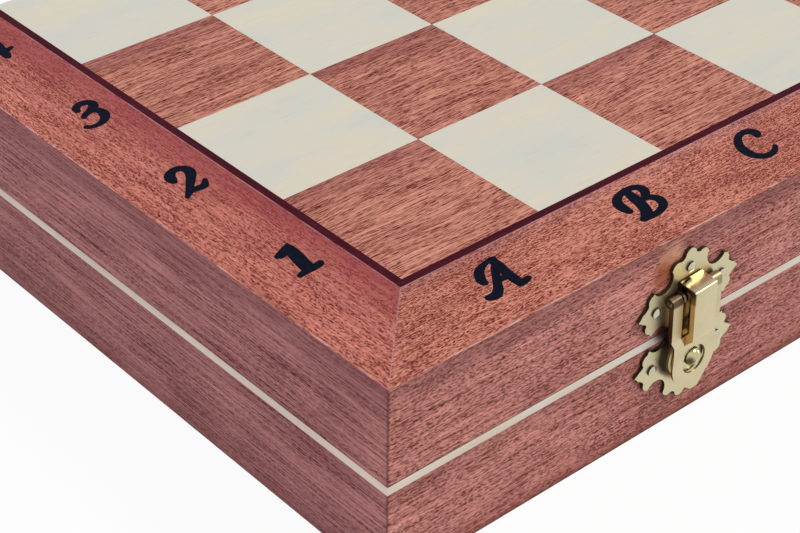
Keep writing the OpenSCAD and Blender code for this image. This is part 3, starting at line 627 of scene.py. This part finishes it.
# Letters and numerals, as pen strokes of (x, y, half width) in hundredths of a square, from the glyph's own
# middle line and foot
CURL = [(-11.7, 13.2, 2.2), (-11.7, 18.5, 3.0), (-10.2, 23.0, 2.6), (-6.7, 26.5, 2.1), (-1.7, 28.5, 1.8),
        (3.3, 29.3, 1.8)]
GLYPHS = {
    "A": [
        [(-7.3, 14.8, 2.0), (-6.9, 17.2, 2.4), (-5.3, 20.1, 2.4), (-2.6, 23.6, 2.3), (1.4, 26.0, 1.7),
         (5.2, 27.4, 1.3), (9, 28.1, 1.3), (12.6, 28.6, 0.8)],
        [(10.6, 27.6, 2.2), (9.6, 22, 2.8), (8.4, 15, 2.7), (7.7, 8, 2.8), (7.4, 3.2, 2.5)],
        [(6, 1.4, 1.2), (9.4, 1.9, 1.5), (12.6, 2.9, 1.6), (14.4, 3.4, 0.9)],
        [(6.4, 22, 1.2), (2.6, 16.2, 1.8), (-1.8, 10.4, 2.0), (-5.6, 5.6, 2.3), (-9.4, 2.9, 2.6),
         (-12.4, 2.7, 2.5), (-14.2, 3.2, 2.0)],
        [(0.4, 11.7, 1.5), (4.2, 11.5, 1.7), (8, 11.2, 1.7)],
    ],
    "B": [
        CURL,
        [(3.3, 29.3, 1.8), (8.3, 28.2, 2.2), (10.8, 25, 2.8), (9.6, 21, 2.4), (6.4, 17.8, 1.8),
         (3.6, 16.4, 1.4)],
        [(4.4, 17, 1.4), (8.5, 15, 2.4), (10.5, 11, 2.7), (8.8, 6.5, 2.3), (4.8, 3.5, 1.9), (-0.7, 2, 1.8),
         (-6.7, 1.9, 1.7), (-11.4, 2.1, 1.6)],
        [(1.8, 27.5, 2.2), (0.6, 21, 3.1), (-1.0, 14, 3.2), (-3.4, 8, 3.1), (-6.6, 4.4, 2.8),
         (-10.4, 2.4, 1.9)],
    ],
    "C": [
        [(8.6, 20.4, 1.6), (10.4, 23.8, 2.8), (8.0, 27.0, 2.5), (3.5, 28.0, 1.8), (-1.0, 26.6, 1.8),
         (-5.0, 23.4, 2.1), (-8.4, 18.8, 2.5), (-9.9, 13.4, 3.0), (-9.7, 8.4, 2.8), (-7.3, 4.3, 2.4),
         (-3, 2.2, 2.0), (2, 2.6, 1.6), (6, 4.6, 1.2), (8.4, 6.8, 0.7)],
    ],
    "D": [
        CURL,
        [(3.3, 29.3, 1.8), (8.4, 27.2, 2.3), (11.4, 22, 2.9), (11.2, 15, 3.0), (8.6, 8.4, 2.6), (4, 4, 2.1),
         (-1.4, 2.1, 1.8), (-7, 1.9, 1.7), (-11.4, 2.1, 1.6)],
        [(1.8, 27.5, 2.2), (0.2, 21, 3.0), (-1.6, 14, 3.1), (-3.8, 8, 3.0), (-6.8, 4.4, 2.7),
         (-10.4, 2.4, 1.9)],
    ],
    "E": [
        [(9.6, 23, 1.5), (9.4, 26.2, 2.2), (5.4, 28.3, 1.9), (0.4, 27.8, 1.9), (-3.8, 25, 2.5),
         (-4.2, 21, 2.6), (-1.2, 17.6, 2.0), (3.2, 16.4, 1.5)],
        [(3.2, 16.4, 1.4), (-2.8, 15.6, 2.0), (-7.6, 12.4, 2.7), (-9.2, 8, 2.8), (-7.0, 4, 2.4),
         (-2.4, 2.2, 2.0), (3, 2.8, 1.6), (7, 5.2, 1.2), (9, 7.8, 0.8)],
    ],
    "F": [
        [(-10.8, 22.6, 1.8), (-8.6, 26, 2.3), (-3, 28, 1.9), (4, 27.7, 1.7), (10, 28.4, 1.9),
         (13, 27.6, 1.5)],
        [(3.2, 27, 2.2), (1.6, 20, 2.9), (0.2, 13, 3.0), (-1.6, 7, 2.8), (-4.8, 3.2, 2.3), (-9.4, 2.4, 2.0),
         (-11.4, 4.4, 1.7)],
        [(-4.2, 15, 1.3), (1, 15.4, 1.5), (7, 16.2, 1.6), (9, 14.4, 1.3)],
    ],
    "G": [
        [(8.0, 21.6, 1.6), (9.4, 24.6, 2.5), (6.6, 27.4, 2.2), (2.4, 28.0, 1.8), (-2, 26.4, 1.8),
         (-6, 23, 2.2), (-9.2, 18.2, 2.6), (-10.4, 12.8, 3.0), (-9.8, 8, 2.8), (-7, 4, 2.3),
         (-2.6, 2.2, 2.0), (2, 3.2, 1.9), (5.4, 6.4, 2.0)],
        [(1.4, 14.2, 1.4), (5.6, 14.0, 1.6), (10.8, 14.4, 1.4)],
        [(7.6, 13.8, 2.4), (6.8, 8, 2.6), (5.6, 2, 2.3), (3.2, -3.4, 1.8), (-1.6, -5.0, 1.4)],
    ],
    "H": [
        [(-13.2, 20.6, 1.7), (-12, 24.6, 2.4), (-8.4, 27.6, 2.0), (-5, 28.0, 1.8)],
        [(-4.8, 27.8, 2.0), (-5.8, 21, 2.8), (-7, 14, 2.9), (-8.6, 7, 2.8), (-11, 3, 2.3),
         (-13.6, 2.2, 1.6)],
        [(10.6, 28, 2.0), (9.4, 21, 2.8), (8, 14, 2.9), (7, 7, 2.8), (7.6, 3, 2.3), (11, 2.3, 1.8),
         (13.2, 4, 1.3)],
        [(-7, 15, 1.5), (0.6, 15.6, 1.5), (8, 15.4, 1.5)],
    ],
    "1": [
        [(3.4, 26, 1.8), (2.2, 22, 3.4), (1.2, 16, 3.8), (0, 10, 3.8), (-0.8, 5, 3.8)],
        [(4.4, 28.8, 0.5), (2.8, 26.6, 1.8), (-1.6, 24.0, 2.5), (-5, 22.6, 2.4), (-7.0, 22.4, 1.4)],
        [(-9, 0.9, 1.0), (-6.4, 1.9, 1.7), (-1.2, 2.2, 2.0), (3.8, 2.7, 2.1), (6.4, 3.3, 2.0),
         (7.4, 4.2, 1.4)],
    ],
    "2": [
        [(-5.6, 18.4, 1.8), (-5.2, 21.4, 3.0), (-3.6, 25, 2.8), (0.6, 28.0, 2.3), (5.0, 27.7, 2.5),
         (7.8, 24.6, 2.9), (7.4, 20.4, 3.0), (4.4, 15.8, 2.5), (-0.2, 10.2, 2.1), (-4.6, 4.8, 1.8),
         (-9.0, 0.6, 1.1)],
        [(-7.6, 2.4, 1.0), (-3.2, 4.5, 1.9), (1.4, 4.2, 2.3), (5.0, 4.2, 2.2), (7.6, 6.6, 1.6),
         (9.3, 9.0, 1.1)],
    ],
    "3": [
        [(-3.6, 20.8, 1.6), (-2.6, 24, 2.1), (1.0, 26.6, 2.2), (5.6, 26.4, 2.6), (8.2, 23.6, 2.7),
         (7.0, 19.8, 2.7), (2.8, 16.6, 2.3), (-1.6, 14.8, 1.8), (-4.8, 12.4, 1.4)],
        [(3.6, 16.6, 2.0), (6.6, 14, 2.5), (7.2, 9.6, 2.9), (5.4, 5.2, 2.6), (1.4, 1.6, 2.1),
         (-3.2, 0.2, 1.7), (-7.4, 0.7, 1.7), (-9.4, 2.0, 1.8)],
    ],
    "4": [
        [(5.8, 27.6, 1.2), (4.6, 24.2, 2.4), (3.4, 17, 2.6), (2.2, 10, 2.6), (1.0, 4, 2.5),
         (0.4, 1.4, 1.9)],
        [(5.0, 27.2, 1.2), (-0.6, 20.6, 1.6), (-5.6, 13.6, 1.6), (-8.6, 9.4, 1.5)],
        [(-8.8, 8.8, 1.4), (-3, 8.3, 1.6), (4, 8.7, 1.7), (8.6, 10.4, 1.2)],
    ],
    "5": [
        [(9, 27.6, 1.2), (5, 26.4, 2.0), (0.4, 26.2, 1.9), (-2.2, 26.4, 1.6)],
        [(-1.8, 26.2, 1.6), (-3.2, 21, 1.5), (-4.4, 16.4, 1.4)],
        [(-4.4, 16, 1.2), (0, 17.2, 1.8), (4.6, 15.6, 2.6), (6.4, 11, 2.9), (5.0, 6, 2.6), (1, 2.2, 2.1),
         (-3.6, 0.7, 1.7), (-7.2, 1.4, 1.8), (-8.6, 3, 1.7)],
    ],
    "6": [
        [(7.6, 27.2, 1.0), (3.2, 25.4, 1.8), (-1.4, 21.6, 2.3), (-4.6, 16.4, 2.7), (-5.8, 10.4, 2.9),
         (-4.2, 4.8, 2.6), (-0.2, 2.0, 2.0), (4, 3.6, 2.2), (6.2, 8, 2.7), (5.2, 13, 2.3), (1.6, 15.6, 1.7),
         (-2.8, 13.8, 1.3)],
    ],
    "7": [
        [(-7.4, 23.4, 1.6), (-6.2, 26, 2.0), (-1.6, 26.4, 2.0), (3.4, 25.4, 2.0), (7.8, 26.8, 1.6)],
        [(7.2, 26, 1.4), (3.2, 19.4, 2.0), (-0.2, 12.4, 2.6), (-2.4, 5.4, 3.0), (-2.8, 1.4, 2.4)],
    ],
    "8": [
        [(1.2, 15.4, 2.2), (-3.0, 18.4, 2.4), (-4.2, 22.6, 2.4), (-1.0, 26.2, 2.0), (3.8, 26.8, 2.0),
         (7.0, 23.8, 2.2), (5.6, 19.6, 2.0), (1.2, 15.4, 2.2)],
        [(1.2, 15.4, 2.2), (-3.6, 12.2, 2.3), (-6.4, 7.6, 2.8), (-4.6, 3.0, 2.3), (0.2, 1.2, 2.0),
         (4.8, 3.4, 2.3), (6.2, 8.2, 2.7), (4.2, 12.6, 2.3), (1.2, 15.4, 2.2)],
    ],
}


def pen_line(points, steps=7):
    """Catmull-Rom through the points, half width included."""
    p = np.array(points, float)
    p = np.vstack([2 * p[0] - p[1], p, 2 * p[-1] - p[-2]])
    t = np.linspace(0, 1, steps, endpoint=False)[:, None]
    out = []
    for a, b, c, d in zip(p, p[1:], p[2:], p[3:]):
        square, cube = 2 * a - 5 * b + 4 * c - d, 3 * b - a - 3 * c + d
        out.append(0.5 * (2 * b + (c - a) * t + square * t ** 2 + cube * t ** 3))
    return np.vstack(out + [p[-2:-1]])


def stroke_field(strokes, step, margin=4):
    """A grid over the strokes, and at its points the distance to their union, negative inside."""
    lines = [pen_line(s) for s in strokes]
    points = np.vstack(lines)
    lo = points[:, :2].min(0) - margin
    n = np.ceil((points[:, :2].max(0) + margin - lo) / step).astype(int)
    gx, gy = lo[0] + step * np.arange(n[0]), lo[1] + step * np.arange(n[1])
    X, Y = np.meshgrid(gx, gy, indexing="ij")
    field = np.full(X.shape, 1e9)
    for line in lines:
        for (ax, ay, ar), (bx, by, br) in zip(line, line[1:]):
            dx, dy = bx - ax, by - ay
            t = np.clip(((X - ax) * dx + (Y - ay) * dy) / max(dx * dx + dy * dy, 1e-12), 0, 1)
            field = np.minimum(field, np.hypot(X - ax - t * dx, Y - ay - t * dy) - ar - t * (br - ar))
    field[field == 0] = 1e-9
    return gx, gy, field


SPECK, DENSE = 12, 40         # loops of up to 12 points are dropped, and those of more than 40 thinned


def glyph_loops(strokes, step=0.34):
    """Outline loops of the strokes' union, by marching squares on their distance field."""
    gx, gy, field = stroke_field(strokes, step)
    inside = field < 0

    def crossing(a, b):
        f = field[a] / (field[a] - field[b])
        return gx[a[0]] + f * (gx[b[0]] - gx[a[0]]), gy[a[1]] + f * (gy[b[1]] - gy[a[1]])

    follows, edge_point = {}, {}
    for i in range(len(gx) - 1):
        for j in range(len(gy) - 1):
            corners = [(i, j), (i + 1, j), (i + 1, j + 1), (i, j + 1)]
            hits = []
            for a, b in zip(corners, corners[1:] + corners[:1]):
                if inside[a] != inside[b]:
                    key = tuple(sorted((a, b)))
                    edge_point[key] = crossing(*key)
                    hits.append((key, inside[a]))
            for (first, leaves), (second, _) in zip(hits[::2], hits[1::2]):
                follows[first if leaves else second] = second if leaves else first
    loops = []
    while follows:
        start, key = next(iter(follows.items()))
        loop = [start]
        del follows[start]
        while key != start and key in follows:
            loop.append(key)
            key = follows.pop(key)
        points = np.array([edge_point[k] for k in loop])
        if len(points) > SPECK:
            loops.append(points[::2] if len(points) > DENSE else points)
    return loops


LETTER_BOLD, NUMERAL_BOLD = 0.6, 0.5          # added to the half widths


def bolder(strokes, extra):
    return [[(x, y, r + extra) for x, y, r in line] for line in strokes]


LOOPS = {g: glyph_loops(bolder(strokes, NUMERAL_BOLD if g.isdigit() else LETTER_BOLD))
         for g, strokes in GLYPHS.items()}


def inside_loops(loops, x, y):
    """Even-odd test of a point against outline loops."""
    odd = False
    for loop in loops:
        x0, y0 = loop[:, 0], loop[:, 1]
        x1, y1 = np.roll(x0, -1), np.roll(y0, -1)
        rise = np.where(y1 == y0, 1e-12, y1 - y0)
        hit = ((y0 > y) != (y1 > y)) & (x < (x1 - x0) * (y - y0) / rise + x0)
        odd ^= bool(np.count_nonzero(hit) % 2)
    return odd


def glyph_outlines(glyphs):
    """Outlines on the board of glyphs given as (name, x, y, quarter turns, mirrored)."""
    loops = []
    for name, x, y, turn, mirrored in glyphs:
        c, s = math.cos(turn * math.pi / 2), math.sin(turn * math.pi / 2)
        for loop in LOOPS[name]:
            p = loop * SQUARE / 100
            if mirrored:
                p = p * (-1, 1)
            loops.append(np.column_stack([x + c * p[:, 0] - s * p[:, 1], y + s * p[:, 0] + c * p[:, 1]]))
    return loops


def on_case_side(a, b):
    """Whether a border's edge lies in the case's left, right or front face."""
    def all_zero(distances):
        return all(abs(d) < 1e-6 for d in distances)
    return all_zero(abs(p[0]) - CASE_L / 2 for p in (a, b)) or all_zero(p[1] - FRONT for p in (a, b))


WOOD_SLOT, INK_SLOT, RAIL_SLOT = range(3)


def painted_border(node, material, body, outline, face_z, back_z, glyphs):
    """A length of border with its glyphs painted flush in the playing face."""
    loops = glyph_outlines(glyphs)
    corners = len(outline)
    verts = [Vector(p) for p in outline]
    edges = [(i, (i + 1) % corners) for i in range(corners)]
    for loop in loops:
        k = len(verts)
        verts += [Vector(p) for p in loop]
        edges += [(k + i, k + (i + 1) % len(loop)) for i in range(len(loop))]
    flat, _, triangles, *_ = delaunay_2d_cdt(verts, edges, [], 0, 1e-9)
    faces, slots = [], []
    for triangle in triangles:
        a, b, c = (flat[i] for i in triangle)
        middle = (a + b + c) / 3
        faces.append(tuple(triangle))
        slots.append(INK_SLOT if inside_loops(loops, middle.x, middle.y) else WOOD_SLOT)
    n = len(flat)
    points = [(p.x, p.y, face_z) for p in flat] + [(p[0], p[1], back_z) for p in outline]
    corner = [min(range(n), key=lambda i: (flat[i] - Vector(p)).length) for p in outline]
    for i in range(corners):
        j = (i + 1) % corners
        faces.append((corner[i], corner[j], n + j, n + i))
        slots.append(RAIL_SLOT if on_case_side(outline[i], outline[j]) else WOOD_SLOT)
    faces.append(tuple(range(n, n + corners)))
    slots.append(WOOD_SLOT)
    rail = rail_x if material == border_x else rail_y
    obj = new_mesh("painted_" + node, points, faces, [material, navy, rail], slots)
    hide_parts(node)
    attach(obj, body)


FRONT_LINE = [
    (LEFT, FRONT), (-LEFT, FRONT), (-LEFT - BORDER, FRONT + BORDER), (LEFT + BORDER, FRONT + BORDER)]
LEFT_LINE = [(LEFT, FRONT), (LEFT + BORDER, FRONT + BORDER), (LEFT + BORDER, BACK), (LEFT, BACK)]
RIGHT_LINE = [(-x, y) for x, y in LEFT_LINE]
FIRST = EDGE / SQUARE + 0.5                   # middle of the first square, in squares from the case's edge
LETTER_FOOT = FRONT + 0.215 * SQUARE
LETTER_NUDGE = {"A": -0.12, "C": -0.04}       # along the border, in squares, as printed
NUMERAL_X = LEFT + 0.366 * SQUARE
NUMERAL_DROPS = 0.145, 0.145, 0.172, 0.145    # feet below the middles of their squares, in squares
TURNED_FOOT = 0.29 * SQUARE                   # how far a numeral's foot moves back when it is turned round


def letters(mirrored):
    """The letters of the files along the front border."""
    return [(g, LEFT + (FIRST + i + LETTER_NUDGE.get(g, 0)) * SQUARE, LETTER_FOOT, 0, mirrored)
            for i, g in enumerate("ABCDEFGH")]


def numerals(x, mirrored, turned_round):
    """The numerals of four ranks along a side border, 1 to 4, or 8 to 5 where mirrored."""
    turn, shift = (2, TURNED_FOOT) if turned_round else (0, 0)
    feet = [FRONT + (FIRST + row - drop) * SQUARE + shift for row, drop in enumerate(NUMERAL_DROPS)]
    return [(str(8 - row if mirrored else row + 1), x, y, turn, mirrored) for row, y in enumerate(feet)]


for half, face_z, back_z, mirrored in (
        ("upper", CASE_H, CASE_H - VENEER, False), ("lower", 0.0, VENEER, True)):
    for side, material, outline, glyphs in (
            ("front", border_x, FRONT_LINE, letters(mirrored)),
            ("left", border_y, LEFT_LINE, numerals(NUMERAL_X, mirrored, turned_round=mirrored)),
            ("right", border_y, RIGHT_LINE, numerals(-NUMERAL_X, mirrored, turned_round=not mirrored))):
        painted_border(f"{half}_border_{side}", material, half + "_half", outline, face_z, back_z, glyphs)


# Felt linings
FELT_CELLS = 84, 40
FELT_NAP, FELT_WAVE, FELT_DIP = 0.82, 0.02, 0.35      # shares of the lining's thickness
FELT_EDGE = 1.2 * MM


def felt_lining(node, body, panel_side, seed):
    """A felt glued on the panel below it (panel_side 1) or above it (-1): uneven, with soft edges."""
    lo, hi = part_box(node)
    nx, ny = FELT_CELLS
    rng = np.random.default_rng(seed)
    waves = [(rng.uniform(20, 90), rng.uniform(20, 90), rng.uniform(0, 6.28)) for _ in range(9)]

    def height(x, y):
        from_edge = min(x - lo[0], hi[0] - x, y - lo[1], hi[1] - y)
        uneven = sum(math.sin(a * x + b * y + c) for a, b, c in waves)
        rise = FELT_NAP + FELT_WAVE * uneven - FELT_DIP * math.exp(-from_edge / FELT_EDGE)
        return (hi[2] - lo[2]) * rise

    verts, faces = [], []
    for free_side in (False, True):
        for j in range(ny + 1):
            for i in range(nx + 1):
                x = lo[0] + (hi[0] - lo[0]) * i / nx
                y = lo[1] + (hi[1] - lo[1]) * j / ny
                t = height(x, y) if free_side else 0.0
                verts.append((x, y, lo[2] + t if panel_side > 0 else hi[2] - t))
    row = nx + 1
    layer = row * (ny + 1)
    for j in range(ny):
        for i in range(nx):
            a = j * row + i
            faces.append((a, a + row, a + row + 1, a + 1))
            faces.append((layer + a, layer + a + 1, layer + a + row + 1, layer + a + row))
    ring = list(range(nx)) + [nx + j * row for j in range(ny)]
    ring += [ny * row + i for i in range(nx, 0, -1)] + [j * row for j in range(ny, 0, -1)]
    for a, b in zip(ring, ring[1:] + ring[:1]):
        faces.append((a, b, layer + b, layer + a))
    obj = new_mesh(node.replace("lining", "felt"), verts, faces, [green_felt])
    for p in obj.data.polygons:
        p.use_smooth = True
    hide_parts(node)
    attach(obj, body)


felt_lining("lower_lining", "lower_half", 1, seed=7)
felt_lining("upper_lining", "upper_half", -1, seed=11)


# Clasp studs
def turned(name, profile, centre, material, segments=64):
    """A body turned about an axis that points out of the front, profile as (radius, height) in mm."""
    verts, faces = [], []
    for r, h in profile:
        for k in range(segments):
            a = 2 * math.pi * k / segments
            x, z = r * MM * math.cos(a), r * MM * math.sin(a)
            verts.append((centre[0] + x, centre[1] - h * MM, centre[2] + z))
    for i in range(len(profile) - 1):
        for k in range(segments):
            a, b = i * segments + k, i * segments + (k + 1) % segments
            faces.append((a, b, b + segments, a + segments))
    faces.append(tuple(range(segments))[::-1])
    faces.append(tuple((len(profile) - 1) * segments + k for k in range(segments)))
    obj = new_mesh(name, verts, faces, [material])
    for p in obj.data.polygons:
        p.use_smooth = len(p.vertices) == 4
    return obj


DOME_R, DOME_RISE, DOME_WAIST = 2.15, 1.9, 2.95       # mm; the widest place is DOME_WAIST out of the front
dome = [(1.4, 1.6), (1.4, 2.5), (1.9, 2.52), (2.1, 2.66)]
for angle in np.radians(np.arange(-6, 89, 5)):
    dome.append((DOME_R * math.cos(angle), DOME_WAIST + DOME_RISE * math.sin(angle)))
dome.append((0.02, DOME_WAIST + DOME_RISE))
for side, x in (("left", -CLASP_X), ("right", CLASP_X)):
    stud = turned("stud_dome_" + side, dome, (x, FRONT, STUD_Z), dome_brass)
    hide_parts("clasp_stud_" + side)
    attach(stud, "lower_half")


# Floor, world and lamps
FLOOR_HALF, FLOOR_GREY, FLOOR_WHITE = 4, 0.85, 0.93   # half width in metres, colour, share of white seen
WORLD_LIGHT, WORLD_SEEN = 0.68, 1.0                   # strength as a light, and as the background seen


def sees_background(tree):
    """1 for camera, glossy and transmission rays, which meet a white background, and 0 for others."""
    rays = tree.nodes.new("ShaderNodeLightPath").outputs
    seen = rays["Is Camera Ray"]
    for ray in ("Is Glossy Ray", "Is Transmission Ray"):
        either = tree.nodes.new("ShaderNodeMath")
        either.operation = "MAXIMUM"
        tree.links.new(seen, either.inputs[0])
        tree.links.new(rays[ray], either.inputs[1])
        seen = either.outputs[0]
    return seen


def floor():
    """A pale floor that looks white and keeps the object's shadow."""
    mesh = bpy.data.meshes.new("floor")
    corners = [(x * FLOOR_HALF, y * FLOOR_HALF, 0) for x, y in ((-1, -1), (1, -1), (1, 1), (-1, 1))]
    mesh.from_pydata(corners, [], [(0, 1, 2, 3)])
    obj = bpy.data.objects.new("floor", mesh)
    bpy.context.scene.collection.objects.link(obj)
    mat = bpy.data.materials.new("floor")
    mat.use_nodes = True
    tree = mat.node_tree
    tree.nodes.clear()
    out = tree.nodes.new("ShaderNodeOutputMaterial")
    mix = tree.nodes.new("ShaderNodeMixShader")
    lit = tree.nodes.new("ShaderNodeBsdfDiffuse")
    lit.inputs["Color"].default_value = (FLOOR_GREY, FLOOR_GREY, FLOOR_GREY, 1)
    glow = tree.nodes.new("ShaderNodeEmission")
    glow.inputs["Color"].default_value = (1, 1, 1, 1)
    glow.inputs["Strength"].default_value = 1.0
    share = tree.nodes.new("ShaderNodeMath")
    share.operation = "MULTIPLY"
    share.inputs[1].default_value = FLOOR_WHITE
    tree.links.new(sees_background(tree), share.inputs[0])
    tree.links.new(share.outputs[0], mix.inputs[0])
    tree.links.new(lit.outputs[0], mix.inputs[1])
    tree.links.new(glow.outputs[0], mix.inputs[2])
    tree.links.new(mix.outputs[0], out.inputs[0])
    mesh.materials.append(mat)


def studio():
    """Soft light from all around, before a white background."""
    world = bpy.data.worlds.new("studio")
    bpy.context.scene.world = world
    world.use_nodes = True
    tree = world.node_tree
    tree.nodes.clear()
    out = tree.nodes.new("ShaderNodeOutputWorld")
    background = tree.nodes.new("ShaderNodeBackground")
    background.inputs["Color"].default_value = (0.96, 0.98, 1.0, 1)
    strength = tree.nodes.new("ShaderNodeMapRange")
    strength.inputs["To Min"].default_value = WORLD_LIGHT
    strength.inputs["To Max"].default_value = WORLD_SEEN
    tree.links.new(sees_background(tree), strength.inputs["Value"])
    tree.links.new(strength.outputs[0], background.inputs["Strength"])
    tree.links.new(background.outputs[0], out.inputs[0])


def sun(name, direction, strength, angle, tint=(1, 1, 1)):
    """A lamp far off in the given direction; angle is its width in degrees."""
    lamp = bpy.data.lights.new(name, "SUN")
    lamp.energy = strength
    lamp.angle = math.radians(angle)
    lamp.color = tint
    obj = bpy.data.objects.new(name, lamp)
    bpy.context.scene.collection.objects.link(obj)
    obj.rotation_euler = Vector(direction).to_track_quat("Z", "Y").to_euler()


floor()
studio()
sun("key", (0.5, -0.42, 0.8), 1.42, 24, (1, 0.97, 0.93))
sun("side", (0.95, -0.3, 0.06), 0.3, 24)

bpy.context.scene.view_settings.view_transform = "Standard"
